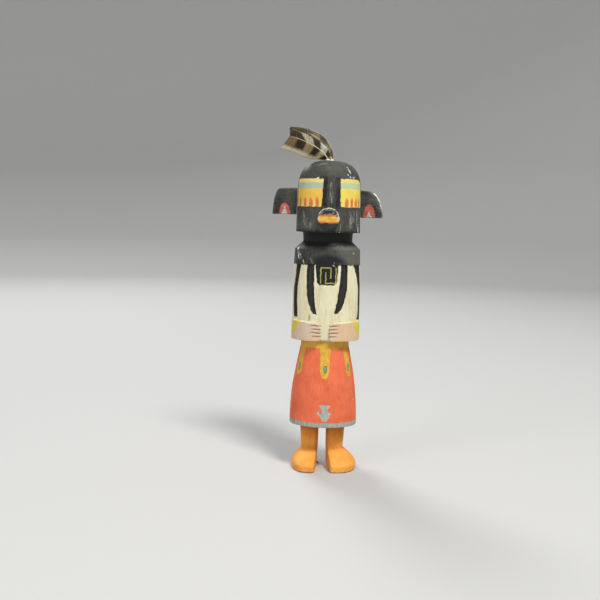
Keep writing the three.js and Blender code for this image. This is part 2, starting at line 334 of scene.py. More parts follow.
def finish_material(tree, base, roughness, height, depth=0.06, specular=0.3):
    """Joins the fields to the material's own shader. depth is the bump's depth in millimetres."""
    shader = tree.nodes["Principled BSDF"]
    tree.links.new(base.socket, shader.inputs["Base Color"])
    tree.links.new(roughness.socket, shader.inputs["Roughness"])
    bump = height.node("ShaderNodeBump", {"Height": height, "Distance": depth * MM, "Strength": 1.0})
    tree.links.new(bump.socket, shader.inputs["Normal"])
    shader.inputs["Specular IOR Level"].default_value = specular


# ---------------------------------------------------------------- outlines on the figure

OFF_SKIN = 0.1  # metres from the axis, outside the whole figure

body_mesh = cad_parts["body"].data
SKIN = BVHTree.FromPolygons([v.co for v in body_mesh.vertices], [p.vertices for p in body_mesh.polygons])


def on_skin(degrees, up):
    """The place on the figure's surface at an angle round the axis and a height."""
    turn = math.radians(degrees)
    out = Vector((math.sin(turn), -math.cos(turn), 0))
    hit = SKIN.ray_cast(AXIS + Vector((0, 0, up * MM)) + out * OFF_SKIN, -out)[0]
    return (hit - AXIS) / MM


def ellipse(across, up, middle, height, half_across, half_up, soft=0.2):
    """A mask inside an ellipse. soft is a share of its size."""
    u = (across - middle) / half_across
    v = (up - height) / half_up
    return u.hypot(v).below(1.0, soft)


def stroke(x, z, start, end, half_width):
    """A mask along a straight painted line between two places of the front view."""
    (ax, az), (bx, bz) = start, end
    length = math.hypot(bx - ax, bz - az)
    ux, uz = (bx - ax) / length, (bz - az) / length
    along = (x - ax) * ux + (z - az) * uz
    off = ((x - ax) * -uz + (z - az) * ux).absolute()
    return off.below(half_width) & along.between(-half_width, length + half_width)


# ---------------------------------------------------------------- the painted figure

# Paints. A pair is what the brush leaves where it is heavy and where it is light.
GESSO = "e4e0cd"
CREAM = ("d2c59e", "e0dab9")
CREAM_STAIN = "a59a7e"
CORAL = ("da6340", "ea774f")
SLATE = ("8a918c", "aeb4a8")
OCHRE = ("c8962e", "e0b547")
DROP_RIM = "56603c"
DROP = ("5a9486", "86b9a2")
JAR_GREY = ("9da096", "b7baac")
LUG_HOLE = "5c5950"
BOOT = ("e69439", "f3af54")
# The legs' darker orange is painted shade under the hem
LEG_HEM_SHADE = "c6660c"
HAND = ("d9b892", "d2bca8")
CUFF = ("ccb63a", "dfcf4d")
FINGER_CUT = "a3806a"
GROOVE_BLACK = ("1f1e1b", "34332f")
WET_BLACK = "16171b"
FRET = "a09e55"
EYE_GOLD = ("e4ba50", "e1d45c")
EYE_PALE = "e8cf7c"
EYE_SAGE = ("a5b5a8", "b3c79b")
EYE_LEMON = ("d6ad70", "dacb7a")
TEAR = ("c9642f", "d98646")
RUBBED_GREY = "a9a89d"

# Heights up the figure
SOLE_TOP = 0.4
BOOT_TOP, LEG_TOP = 21, 35  # where the boot's colour starts to darken into the painted shade under the hem, and where it is all the leg's darker colour
HEM_FOOT, HEM_TOP = 35.4, 39.2
BELT_FOOT, BELT_TOP = 97.6, 103.4
GROOVE_FOOT = 119.8
COLLAR_FOOT = 163.0
GROOVE_HEAD = COLLAR_FOOT + 1
# Heights of the painted sheen on the doll's left shoulder
SHOULDER_SHEEN = (164, 178)
NECK_FOOT, MASK_FOOT = 178, 188.5
CROWN_CURVE = 230  # where the brush starts to go round the dome

FRONT = -2.0  # the plane that parts the front from the back, along Y

TRUNK_SQUARE = 2.4
TRUNK_FOOT = (104.0, 27.1, 20.8)  # height, half width and front depth of the trunk's section
TRUNK_COLLAR = (162.0, 26.6, 21.6)
TRUNK_HALF = 22.0  # the section's middling half width, which turns its shares into millimetres

# Edges of the grooves that part the arms from the chest, as heights and distances across
GROOVES = [
    (
        ((124.4, -6.9), (130, -8.8), (146, -10.3), (163.5, -10.4)),
        ((124.4, -7.6), (131, -13.6), (146, -16.1), (163.5, -15.8)),
    ),
    (
        ((125.2, 5.9), (131, 7.2), (146, 9.5), (163.5, 10.6)),
        ((125.2, 8.0), (132, 12.8), (146, 15.7), (163.5, 15.5)),
    ),
]
# The same for the groove behind the arm on each side, as heights and degrees round from the front
SIDE_GROOVES = {
    -1: (
        ((121.5, 58.5), (127, 59), (135, 61.5), (144, 62.5), (151, 60.5), (161, 55.5)),
        ((121.5, 69), (127, 72), (142, 74.5), (151, 69.5), (161, 66)),
    ),
    1: (
        ((120, 64), (128, 69), (133, 71.5), (142, 71.5), (152, 64), (162, 54.5)),
        ((120, 78), (128, 81), (142, 82), (152, 76), (162, 70)),
    ),
}

EYE_FOOT, EYE_TOP = 208.5, 229.8
SAGE_FOOT, SAGE_TOP = 222.3, 226.8
TEAR_UP, TEAR_HALF_TURN, TEAR_HALF_HEIGHT = 2.6, 3.5, 4.2
# Each eye: its inner and outer edge, as heights and degrees round from the front, and where its tears are
EYES = [
    {
        "side": -1,
        "inner": ((208.5, 19), (209.6, 15.5), (215, 14.2), (229.8, 13.2)),
        "outer": ((208.5, 80), (229.8, 79)),
        "tears": (23.6, 35.7, 48, 62.3, 75),
    },
    {
        "side": 1,
        "inner": ((208.5, 22.5), (209.6, 20.8), (229.8, 20.2)),
        "outer": ((208.5, 77), (225, 76), (228, 72), (229.4, 66), (229.9, 60)),
        "tears": (32.8, 43.4, 53.8, 64.4),
    },
]

# The water jar: its middle, its foot, and its half width by the height above the foot
JAR_MIDDLE, JAR_FOOT, JAR_HEIGHT = 0.6, 40.5, 12.7
JAR = (
    (0, 1.3),
    (1.1, 2.3),
    (3.0, 3.5),
    (5.4, 4.1),
    (6.8, 3.6),
    (8.1, 2.5),
    (9.2, 2.5),
    (11, 3.5),
    (JAR_HEIGHT, 4.6),
)
# Its lugs: how far across and up from the jar's foot, half width and half height
JAR_LUGS = [(-4.6, 6.1, 1.8, 1.5), (3.9, 6.1, 1.3, 1.2)]
JAR_HOLE = (-3.0, 47.2, 0.6, 0.6)

# Sash ends: degrees round from the front, the height of the tip and the width
SASH_ENDS = [
    (-60.5, 75, 6.4),
    (0, 73.8, 7.2),
    (54.5, 75, 5.6),
    (116, 75.2, 6.4),
    (177, 74.4, 6.8),
    (-120, 75.6, 6.2),
]
SASH_ROUND = 0.6  # height of the round tip, and half widths there and at the belt, as shares of the width
SASH_TIP_HALF, SASH_BELT_HALF = 0.46, 0.56
DROP_UP = 7.2  # from the tip to the middle of the drop
DROP_RIM_HALVES, DROP_HALVES = (1.4, 2.9), (0.85, 2.2)

# The slanting sleeve ends, as degrees round from the front and heights. The foot is the top of the hand.
CUFF_FOOT = ((40, 117.5), (52, 118.2), (56, 114.2), (64, 110.2), (71, 108), (82, 105.6), (96, 103))
CUFF_HEAD = ((52, 119.9), (60, 119.2), (68, 117.2), (74, 115.4), (80, 112.4), (96, 107.4), (106, 103))
CUFF_TURN = (51.5, 106)
WRIST_TURN = (40, 96)  # where the hand's colour runs to, past the raised hand

FINGER_ENDS = {-1: 4.2, 1: 2.2}
FINGERS = (8.4, 7.2, 8.2, 6.4)
FINGER_TOP, FINGER_PITCH, FINGER_SLOPE = 115.2, 2.75, 0.08
FINGER_LINE = 0.28

# The tab that hangs from the collar: its middle, and its half width by height
BIB_MIDDLE, BIB_FOOT, BIB_HEAD = -0.4, 147.5, COLLAR_FOOT + 1.5
BIB = ((BIB_FOOT, 5.4), (148.4, 6.9), (150, 7.8), (153, 8.2), (162, 8.8))
WET_PATCH = (0.5, 164.5, 12.5, 6.5)  # fresher black above the tab: middle, height and half sizes

# Two square hooks on the tab, in cells across and up from its lower corner
FRET_CELL, FRET_LEFT, FRET_FOOT, FRET_LINE = 1.98, -5.3, 149.2, 0.46
FRET_HOOKS = [
    [(0, 0), (0, 6), (4, 6), (4, 2)],
    [(6, 6), (6, 0), (2, 0), (2, 4)],
]

CHEST_STAIN = (-13.4, 122, 1.0, 2.6)  # middle, height and half sizes
HEAD_DUST_AND_LIGHT = ((188, 0.0), (191, 0.07), (205, 0.07), (212, 0.0), (226, 0.0), (244, 0.16))  # height, how grey: dustiness low on the mask, and up the crown dustiness with painted light from above
MASK_MIDDLE = (3, 216, 5.5, 16)  # degrees, height and half sizes of the bare strip between the eyes
BESIDE_EYES = ((-15, -6), (11, 20))  # degrees of the blacker strips next to the eyes
BESIDE_EYES_UP = (208, 231)

GLUE_REACH, GLUE_UP = 2.1, 0.6  # how far the white spreads from a place this far above the crown

# Chips down to the gesso: from and to in degrees and height, and half their width
CHIPS = [
    ((42.4, 239.6), (42.2, 236.0), 0.3),
    ((43.0, 236.6), (44.0, 234.6), 0.45),
    ((36.5, 233.6), (36.5, 233.1), 0.35),
    ((40.5, 232.2), (41.5, 231.0), 0.35),
    ((48.0, 231.6), (49.5, 230.4), 0.45),
    ((52.5, 231.9), (52.0, 231.2), 0.3),
    ((-26.0, 230.0), (-22.2, 230.5), 0.55),
    ((-67.0, 176.2), (-64.5, 175.0), 0.7),
    ((-63.0, 172.3), (-61.5, 170.8), 0.65),
    ((-61.5, 171.0), (-61.8, 167.2), 0.5),
    ((-57.0, 171.4), (-56.0, 169.8), 0.4),
    ((-66.5, 169.4), (-66.0, 167.6), 0.35),
    ((-49.5, 166.6), (-47.5, 163.4), 0.3),
    ((52.5, 172.6), (54.0, 171.4), 0.45),
    ((64.0, 189.4), (63.0, 192.5), 0.5),
    ((63.6, 193.0), (64.2, 198.0), 0.25),
    ((18.4, 189.2), (20.0, 189.0), 0.3),
    ((10.6, 163.2), (14.0, 162.6), 0.35),
    ((-5.5, 87.5), (-5.0, 86.2), 0.2),
    ((-7.8, 84.6), (-7.4, 84.0), 0.2),
    ((63.0, 58.0), (64.0, 55.0), 0.3),
    ((151.0, 232.0), (156.0, 229.0), 0.5),
    ((-140.0, 176.0), (-134.0, 175.4), 0.5),
    ((121.0, 175.6), (125.0, 174.8), 0.4),
]
# Grey scuffs, where the black is rubbed thin
SCUFFS = [
    ((-52.0, 204.5), (-46.5, 196.0), 0.8),
    ((-46.5, 196.0), (-41.5, 198.8), 0.7),
    ((-50.0, 197.0), (-43.0, 193.0), 0.8),
    ((-36.0, 196.0), (-34.5, 191.0), 0.6),
    ((22.0, 195.5), (21.0, 190.5), 0.45),
    ((40.0, 204.0), (42.0, 192.0), 1.0),
    ((47.0, 206.0), (48.0, 197.0), 0.7),
    ((57.0, 205.0), (58.0, 193.0), 0.8),
    ((1.5, 226.0), (3.0, 212.0), 0.8),
    ((-66.0, 174.5), (-57.0, 169.0), 1.8),
    ((12.0, 165.0), (24.0, 164.4), 0.6),
    ((-36.0, 168.4), (-30.0, 164.6), 0.6),
    ((-30.0, 240.5), (-12.0, 242.0), 0.5),
    ((160.0, 235.0), (166.0, 231.0), 0.6),
    ((164.0, 236.0), (169.0, 232.0), 0.4),
    ((-150.0, 209.0), (-148.0, 203.0), 0.5),
    ((-141.0, 206.0), (-141.5, 202.5), 0.4),
]


def finger_lines():
    """The cuts between the fingers of both hands, each from the finger's end to its root."""
    for side, end in FINGER_ENDS.items():
        for i, length in enumerate(FINGERS):
            up = FINGER_TOP - i * FINGER_PITCH
            yield (side * end, up), (side * (end + length), up + FINGER_SLOPE * length)


def bearings(place):
    """Across, along and up, degrees round from the front, and the mask of the front, at a place."""
    x, y, z = place.parts()
    return x, y, z, x.degrees_from(-y), y.below(FRONT, 0.5)


def trunk_depth(x, y, z):
    """How far inside the uncut trunk a place lies, in millimetres. Raised hands are below zero."""
    (low, foot_side, foot_front), (high, top_side, top_front) = TRUNK_FOOT, TRUNK_COLLAR
    up = z.ramp(low, high)
    across = (x.absolute() / up.spread(foot_side, top_side)).math("POWER", TRUNK_SQUARE)
    along = (y.absolute() / up.spread(foot_front, top_front)).math("POWER", TRUNK_SQUARE)
    return ((across + along).math("POWER", 1 / TRUNK_SQUARE) - 1.0) * -TRUNK_HALF


def groove_masks(x, z, around, front, depth):
    """The black paint in the grooves beside and behind the arms, and a little over their edges."""
    yield depth.above(0.5, 0.3) & front & z.between(GROOVE_FOOT, GROOVE_HEAD)
    for one, other in GROOVES:
        inside = (x - z.follow(*one)) * (x - z.follow(*other))
        yield inside.below(0.0, 0.8) & z.between(one[0][0], GROOVE_HEAD) & front
    for side, (inner, outer) in SIDE_GROOVES.items():
        turn = around * side
        inside = (turn - z.follow(*inner)) * (turn - z.follow(*outer))
        yield inside.below(0.0, 6.0) & z.between(inner[0][0], GROOVE_HEAD)


def eye_block(z, turn, eye):
    """The mask of one painted eye."""
    past_inner = (turn - z.follow(*eye["inner"])).above(0.0, 0.9)
    short_of_outer = (turn - z.follow(*eye["outer"])).below(0.0, 0.9)
    return past_inner & short_of_outer & z.between(EYE_FOOT, EYE_TOP, 0.35)


def eye_layers(tree, z, turn, block, eye, patches, hairs):
    """The bands of an eye, gold, sage and lemon, and the row of orange tears along its foot."""
    tone = patches * 0.6 + hairs * 0.4 + eye["side"] * 0.12
    yield block, blend(tree, EYE_GOLD, tone.ramp(0.38, 0.64))
    yield block & z.below(EYE_FOOT + 3.0, 4.0) & hairs.above(0.4, 0.3), colour(tree, EYE_PALE)
    yield block & z.above(SAGE_FOOT, 0.5), blend(tree, EYE_SAGE, tone.ramp(0.4, 0.66))
    yield block & z.above(SAGE_TOP, 0.6), blend(tree, EYE_LEMON, hairs.ramp(0.3, 0.45))
    up = EYE_FOOT + TEAR_UP
    drops = union(ellipse(turn, z, at, up, TEAR_HALF_TURN, TEAR_HALF_HEIGHT, 0.6) for at in eye["tears"])
    yield drops & block, blend(tree, TEAR, hairs.ramp(0.35, 0.6))


def jar_mask(x, z, front):
    """A small water jar on the front of the skirt, with a large lug on the right side and a small one."""
    across, up = x - JAR_MIDDLE, z - JAR_FOOT
    body = (across.absolute() - up.follow(*JAR)).below(0.0) & up.between(0.0, JAR_HEIGHT)
    lugs = union(ellipse(across, up, *lug, 0.25) for lug in JAR_LUGS)
    return (body | lugs) & front


def sash_end(around, z, radius, at, tip, width):
    """One hanging end of the sash, and the rim and middle of the turquoise drop on it, as masks."""
    arc = ((around - at + 180).math("FLOORED_MODULO", 360.0) - 180) * radius * (math.pi / 180)
    shoulder = tip + width * SASH_ROUND
    flare = z.ramp(tip, BELT_FOOT).spread(width * SASH_TIP_HALF, width * SASH_BELT_HALF)
    strip = z.between(shoulder, BELT_FOOT + 1) & (arc.absolute() - flare).below(0.0)
    end = ellipse(arc, z, 0, shoulder, width * SASH_TIP_HALF, width * SASH_ROUND, 0.12)
    rim = ellipse(arc, z, 0.2, tip + DROP_UP, *DROP_RIM_HALVES, 0.3)
    drop = ellipse(arc, z, 0.1, tip + DROP_UP, *DROP_HALVES, 0.35)
    return strip | end, rim, drop


def cuff_mask(turn, z):
    """Yellow sleeve ends: a slanting band round the side of each arm."""
    band = (z - turn.follow(*CUFF_FOOT)).above(0.0) & (z - turn.follow(*CUFF_HEAD)).below(0.0)
    return band & turn.between(*CUFF_TURN, 1.0) & z.above(BELT_TOP)


def figure_layers(tree, spot, depth, hairs, patches):
    """The coloured paint of the figure, in the order it is put on: each a mask and a colour."""
    x, y, z, around, front = spot
    radius = x.hypot(y)
    turn = around.absolute()
    mixed = hairs * 0.4 + patches * 0.8
    slate = blend(tree, SLATE, hairs.ramp(0.35, 0.65))
    ochre = blend(tree, OCHRE, (hairs * 0.7 + patches * 0.5).ramp(0.45, 0.75))
    boot = blend(tree, BOOT, mixed.ramp(0.45, 0.8))
    yield z.below(BELT_FOOT, 0.4), blend(tree, CORAL, mixed.ramp(0.42, 0.8))
    yield z.below(HEM_TOP, 0.4), slate
    # Legs: the boot's orange darkens upwards into painted shade under the hem
    yield z.below(HEM_FOOT, 0.1), colour(tree, LEG_HEM_SHADE).over(boot, z.ramp(BOOT_TOP, LEG_TOP))
    yield z.between(BELT_FOOT, BELT_TOP, 0.4), ochre
    for at, tip, width in SASH_ENDS:
        sash, rim, drop = sash_end(around, z, radius, at, tip, width)
        yield sash, ochre
        yield rim, colour(tree, DROP_RIM)
        yield drop, blend(tree, DROP, hairs.ramp(0.4, 0.6))
    yield jar_mask(x, z, front), blend(tree, JAR_GREY, hairs.ramp(0.35, 0.65))
    yield ellipse(x, z, *JAR_HOLE, 0.5) & front, colour(tree, LUG_HOLE)
    raised = depth.below(-0.35, 0.4) | turn.between(*WRIST_TURN, 2)
    hands = raised & z.above(BELT_TOP) & (z - turn.follow(*CUFF_FOOT)).below(0.0, 0.6)
    skin = (patches * 0.8 + hairs * 0.4) - x * 0.006
    yield hands, blend(tree, HAND, skin.ramp(0.5, 0.78))
    yield cuff_mask(turn, z), blend(tree, CUFF, hairs.ramp(0.35, 0.6))
    cuts = union(stroke(x, z, *line, FINGER_LINE) for line in finger_lines())
    yield cuts & front & hands, colour(tree, FINGER_CUT)
    grooves = union(groove_masks(x, z, around, front, depth))
    yield grooves, blend(tree, GROOVE_BLACK, hairs.ramp(0.35, 0.7))


def collar_mask(z, edge):
    """The black of the collar and head, with its ragged lower edge."""
    ragged = edge.stretched(1, 1, 0.15).noise(0.7, detail=3, rough=0.7)
    return (z - ragged.spread(-1.6, 1.6)).above(COLLAR_FOOT)


def bib_mask(x, z, front):
    """The tab that hangs from the collar over the chest, with round lower corners."""
    inside = ((x - BIB_MIDDLE).absolute() - z.follow(*BIB)).below(0.0)
    return inside & z.between(BIB_FOOT, BIB_HEAD) & front


def fret_mask(x, z, front):
    """Two square hooks that interlock, in thin lines on the bib."""
    lines = []
    for hook in FRET_HOOKS:
        points = [(FRET_LEFT + u * FRET_CELL, FRET_FOOT + v * FRET_CELL) for u, v in hook]
        lines += zip(points, points[1:])
    return union(stroke(x, z, *line, FRET_LINE) for line in lines) & front


def glue_mask(place):
    """White glue round the foot of each quill."""
    feet = ((*feather["foot"], CROWN + GLUE_UP) for feather in FEATHERS.values())
    return union(place.vector("DISTANCE", foot, output=1).below(GLUE_REACH, 0.5) for foot in feet)


def black_dust_and_light(z, around, front):
    """How grey the black is. It is above 0 where it greys: with dustiness low on the mask, with dustiness and
    painted light from above on the crown, and with a painted sheen on the doll's left shoulder. It is below 0
    where the paint is thick, and in the neck, where it is painted shade under the mask.
    """
    middle = ellipse(around, z, *MASK_MIDDLE, 1.2) * 0.02
    beside_eyes = union(around.between(*turns, 4) for turns in BESIDE_EYES) & z.between(*BESIDE_EYES_UP, 4)
    # Painted shade: the neck is made blacker where the mask's rim shades it
    neck_shade = z.between(NECK_FOOT, MASK_FOOT + 1, 3)
    # Painted sheen: the black is greyer on the doll's left shoulder, more so towards its side
    shoulder = z.between(*SHOULDER_SHEEN, 6) * around.ramp(0, 50) * 0.4
    return z.follow(*HEAD_DUST_AND_LIGHT) + shoulder + middle - (beside_eyes & front) * 0.14 - neck_shade * 0.3


def figure_black(tree, place, spot, hairs, patches):
    """The shared black paint on the figure, brushed up and down the mask and round the dome, with painted
    light, sheen and shade in its grey.
    """
    _, _, z, around, front = spot
    round_crown = place.stretched(0.2, 1.3, 1.8).noise(1.0, detail=4, rough=0.6)
    strokes = hairs.mixed(round_crown, z.above(CROWN_CURVE, 8))
    # How grey the black is: dustiness, with painted light on the crown, painted sheen on the left shoulder
    # and painted shade in the neck
    dust_and_light = black_dust_and_light(z, around, front)
    return use(BLACK, tree, Place=place, Hairs=strokes, Patches=patches, Dust=dust_and_light)


def figure_material():
    """Cream and colours, then the black and the eyes in it, then what has worn off or settled, and painted
    shade in hollows.
    """
    material, tree = new_material("painted_figure")
    place = place_on_doll(tree)
    brush = use(BRUSHWORK, tree, Place=place, Run=(1.3, 1.3, 0.16))
    hairs, patches, edge = brush["Hairs"], brush["Patches"], brush["Edge"]
    spot = bearings(edge)
    x, _, z, around, front = spot

    stains = place.stretched(0.25, 0.25, 0.05).noise(1.0, detail=3, rough=0.6)
    base = blend(tree, CREAM, (stains + hairs * 0.3).ramp(0.42, 0.72))
    base = colour(tree, CREAM_STAIN).over(base, ellipse(x, z, *CHEST_STAIN, 1.2) & front)
    for mask, paint in figure_layers(tree, spot, trunk_depth(*place.parts()), hairs, patches):
        base = paint.over(base, mask)
    base = base.times(hairs.ramp(0.2, 0.8).spread(0.9, 1.05))

    black = figure_black(tree, place, spot, hairs, patches)
    collar = collar_mask(z, edge)
    bib = bib_mask(x, z, front)
    base = black["Color"].over(base, collar)
    wet = ellipse(x, z, *WET_PATCH, 0.7) & front & collar
    base = colour(tree, WET_BLACK).over(base, wet | bib)
    base = colour(tree, FRET).over(base, fret_mask(x, z, front) & hairs.above(0.32, 0.2))
    dark = collar | bib
    for eye in EYES:
        turn = around * eye["side"]
        block = eye_block(z, turn, eye)
        for mask, paint in eye_layers(tree, z, turn, block, eye, patches, hairs):
            base = paint.over(base, mask)
        dark = dark & block.outside()

    wear = worn(tree, place, z.between(TRUNK_FOOT[0], TRUNK_COLLAR[0], 3) * -0.35 + 0.08)
    ragged = place.noise(0.9, detail=4, rough=0.7) - 0.5
    scuffs = (attribute(tree, "scuff") + ragged * 2.6).below(0.0, 1.2) & hairs.above(0.5, 0.25)
    base = colour(tree, RUBBED_GREY).over(base, ((wear["Rubbed"] * 0.3) | (scuffs * 0.65)) & dark)
    chips = wear["Chipped"] | (attribute(tree, "chip") + ragged * 1.6).below(0.0, 0.15)
    base = colour(tree, GESSO).over(base, chips | glue_mask(place))
    wood = use(COTTONWOOD, tree, Place=place)
    base = wood["Color"].over(base, place.parts()[2].below(SOLE_TOP, 0.3))
    # Darker in hollows: dirt, and painted shade
    base = base.times(wear["Hollow_shade_and_dirt"].spread(1.0, 0.55))

    height = hairs * 0.6 + wood["Grain"] * 0.2 - chips * 1.5
    roughness = hairs.spread(0.6, 0.75).mixed(black["Roughness"], dark)
    finish_material(tree, base, roughness, height)
    return material


# ---------------------------------------------------------------- ears and snout

EAR_FRONT = -1.5  # the front face's plane, along Y
EAR_GREY = "a3a294"
EAR_HEART = ("8f958c", "bdc0ab")
# The red arch on each ear: its middle, foot, half width and height, and its darker and lighter red. Then the
# half width and height of the pale heart in it, and where the rim is barest and how bare it is there.
EARS = {
    "ear_right": {
        "arch": (-34.9, 201.9, 4.3, 9.0),
        "reds": ("96403c", "b5625c"),
        "heart": (2.5, 6.6),
        "bare": (-32, 224, 0.45),
    },
    "ear_left": {
        "arch": (32.0, 200.6, 4.7, 10.6),
        "reds": ("8c3a2c", "b35e4c"),
        "heart": (2.5, 5.2),
        "bare": (44, 217, 0.95),
    },
}

SNOUT_X, SNOUT_Z, SNOUT_RADIUS = -0.8, 199.1, 8.3
SNOUT_END = -33.7  # just behind the end's plane, along Y
END_UPPER = ("2f2d27", "8f8c80")
END_LOWER = "1a1916"
END_ARC = "2b2924"
BAND_ORANGE = ("bf5f30", "d28045")
BAND_YELLOW = ("d09c38", "e0b650")
BAND_SHADOW = "6b5358"
CHIPPED_RIM = "cfccba"


def ear_material(name, ear):
    """A black ear board with a red arch on its front, pale inside, and paint worn from its rim."""
    material, tree = new_material(name)
    place = place_on_doll(tree)
    brush = use(BRUSHWORK, tree, Place=place, Run=(0.2, 1.2, 1.2))
    hairs = brush["Hairs"]
    x, _, z = brush["Edge"].parts()
    true_x, true_y, true_z = place.parts()
    front = true_y.below(EAR_FRONT, 0.4)
    middle, foot, _, _ = ear["arch"]
    black = use(BLACK, tree, Place=place, Hairs=hairs, Patches=brush["Patches"], Dust=-0.05)
    arch = ellipse(x, z, *ear["arch"], 0.12)
    base = blend(tree, ear["reds"], hairs.ramp(0.35, 0.6)).over(black["Color"], arch & front)
    half, height = ear["heart"]
    heart = (x - middle).absolute() + (z - foot) * (half / height)
    base = blend(tree, EAR_HEART, hairs.ramp(0.4, 0.55)).over(base, heart.below(half, 0.7) & front)
    bare_x, bare_z, most = ear["bare"]
    far = (true_x - bare_x).hypot(true_z - bare_z)
    wear = worn(tree, place, far.ramp(20, 4) * most)
    base = colour(tree, EAR_GREY).over(base, wear["Rubbed"] * 0.5)
    base = colour(tree, GESSO).over(base, wear["Chipped"])
    # Darker in hollows: dirt, and painted shade
    base = base.times(wear["Hollow_shade_and_dirt"].spread(1.0, 0.6))
    finish_material(tree, base, black["Roughness"], hairs * 0.6 - wear["Chipped"] * 1.5)
    return material


def snout_layers(tree, x, z, thin, hairs):
    """The paint on the snout's end, in the order it is put on: each a mask and a colour."""
    turn, out = z.degrees_from(x), x.hypot(z)
    yield z.above(2.9, 0.4), blend(tree, END_UPPER, thin.ramp(0.42, 0.62))
    yield z.below(-3.0, 0.4) * 0.7, colour(tree, END_LOWER)
    arc = out.between(4.6, 6.2, 0.8) & turn.between(55, 160, 20) & thin.above(0.35, 0.2)
    yield arc, colour(tree, END_ARC)
    orange = z.between(-2.9, 0.0) | (z.between(-1.0, 3.0) & x.between(-6.6, 5.6, 0.8))
    yield orange, blend(tree, BAND_ORANGE, hairs.ramp(0.4, 0.6))
    yield z.between(-1.9, 1.7), blend(tree, BAND_YELLOW, hairs.ramp(0.4, 0.6))
    yield z.between(-3.5, -3.0, 0.3), colour(tree, BAND_SHADOW)


def rim_chips(x, z, thin):
    """Where the paint has gone from the rim of the snout's end: over the top, and in part at the sides."""
    turn, out = z.degrees_from(x), x.hypot(z)
    top = (out + thin * 1.6).above(SNOUT_RADIUS + 0.5, 0.4) & turn.between(30, 172, 14)
    sides = x.absolute().above(6.6, 0.8) & z.between(-1.5, 4.5, 1.5) & thin.above(0.45, 0.2)
    return top | (sides * 0.7)


def snout_material():
    """The plug of the snout: black, with a band of orange and yellow across its end and a chipped rim."""
    material, tree = new_material("painted_snout")
    place = place_on_doll(tree)
    brush = use(BRUSHWORK, tree, Place=place, Run=(0.3, 1.2, 1.2))
    hairs = brush["Hairs"]
    x, _, z = brush["Edge"].shifted((-SNOUT_X, 0, -SNOUT_Z)).parts()
    end = place.parts()[1].below(SNOUT_END, 0.4)
    thin = place.noise(0.35, detail=4, rough=0.6)
    black = use(BLACK, tree, Place=place, Hairs=hairs, Patches=brush["Patches"], Dust=0.02)
    base = black["Color"]
    for mask, paint in snout_layers(tree, x, z, thin, hairs):
        base = paint.over(base, mask & end)
    wear = worn(tree, place, -0.1)
    chips = wear["Chipped"] | (rim_chips(x, z, thin) & end)
    base = colour(tree, CHIPPED_RIM).over(base, chips * 0.85)
    # Darker in hollows: dirt, and painted shade
    base = base.times(wear["Hollow_shade_and_dirt"].spread(1.0, 0.6))
    finish_material(tree, base, black["Roughness"], hairs * 0.6 - chips * 1.5)
    return material


# ---------------------------------------------------------------- carved meshes

CALM_ANGLE = math.radians(14)  # corners under this angle count as part of a face
FARTHEST = 4.0  # the most a distance from a chip is marked as, in millimetres
HAND_FRONT, HAND_REACH = -15, 14  # the fingers lie in front of this plane and this near the middle
CUT_DEPTH, CUT_HALF = 0.75, 0.5  # the cuts between the fingers
CUT_FADE = 2.2  # how fast a cut fades towards its root
GLUE_RADIUS, GLUE_SINK = 1.9, 0.5  # a mound's radius, and how far its middle lies below the crown

FIGURE_CUT = {
    "voxels": (0.4, 0.8),
    "corner_rounds": 1,
    "calm_rounds": 20,
    "waves": [(0.22, 9.0, 26.0), (0.1, 3.5, 12.0)],
    "triangles": 190000,
    "edge": (2.4, 0.3),
}
EAR_CUT = {
    "voxels": (0.28, 0.5),
    "corner_rounds": 2,
    "calm_rounds": 10,
    "waves": [(0.12, 5.0, 5.0)],
    "triangles": 40000,
    "edge": (1.3, 0.2),
}
SNOUT_CUT = {**EAR_CUT, "calm_rounds": 20}


def link(name, bm):
    """A new object in the scene, from a finished bmesh."""
    mesh = bpy.data.meshes.new(name)
    bm.to_mesh(mesh)
    bm.free()
    piece = bpy.data.objects.new(name, mesh)
    bpy.context.scene.collection.objects.link(piece)
    return piece


def apply_modifiers(piece):
    dressed = piece.evaluated_get(bpy.context.evaluated_depsgraph_get())
    mesh = bpy.data.meshes.new_from_object(dressed)
    piece.modifiers.clear()
    piece.data = mesh


def even_skin(name, node, voxel, extra=None):
    """A CAD node's solid as one even skin, fine enough to carve."""
    bm = bmesh.new()
    bm.from_mesh(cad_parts[node].data)
    bmesh.ops.remove_doubles(bm, verts=bm.verts, dist=0.001 * MM)
    if extra:
        extra(bm)
    piece = link(name, bm)
    skin = piece.modifiers.new("skin", "REMESH")
    skin.mode = "VOXEL"
    skin.voxel_size = voxel * MM
    apply_modifiers(piece)
    return piece


def thin_out(piece, triangles):
    """Joins faces where the skin is flat, until few enough are left. The skin is all squares."""
    now = 2 * len(piece.data.polygons)
    if now > triangles:
        thin = piece.modifiers.new("thin", "DECIMATE")
        thin.ratio = triangles / now
        apply_modifiers(piece)
    piece.data.shade_smooth()


def smooth(bm, verts, rounds):
    axes = {"use_axis_x": True, "use_axis_y": True, "use_axis_z": True}
    for _ in range(rounds):
        bmesh.ops.smooth_vert(bm, verts=verts, factor=0.5, **axes)
    bm.normal_update()


def knife_work(piece, corner_rounds, calm_rounds, waves, cut=None):
    """Rounds the corners a little, evens the faces between them, and adds the knife's shallow waves.

    Each wave is its depth, its length across and its length up, in millimetres.
    """
    bm = bmesh.new()
    bm.from_mesh(piece.data)
    smooth(bm, bm.verts, corner_rounds)
    calm = [v for v in bm.verts if all(e.calc_face_angle(0) < CALM_ANGLE for e in v.link_edges)]
    smooth(bm, calm, calm_rounds)
    for v in bm.verts:
        here = (v.co - AXIS) / MM
        lift = 0
        for depth, across, up in waves:
            lift += depth * noise.noise(Vector((here.x / across, here.y / across, here.z / up)))
        v.co += v.normal * lift * MM
    if cut:
        cut(bm)
    bm.to_mesh(piece.data)
    bm.free()


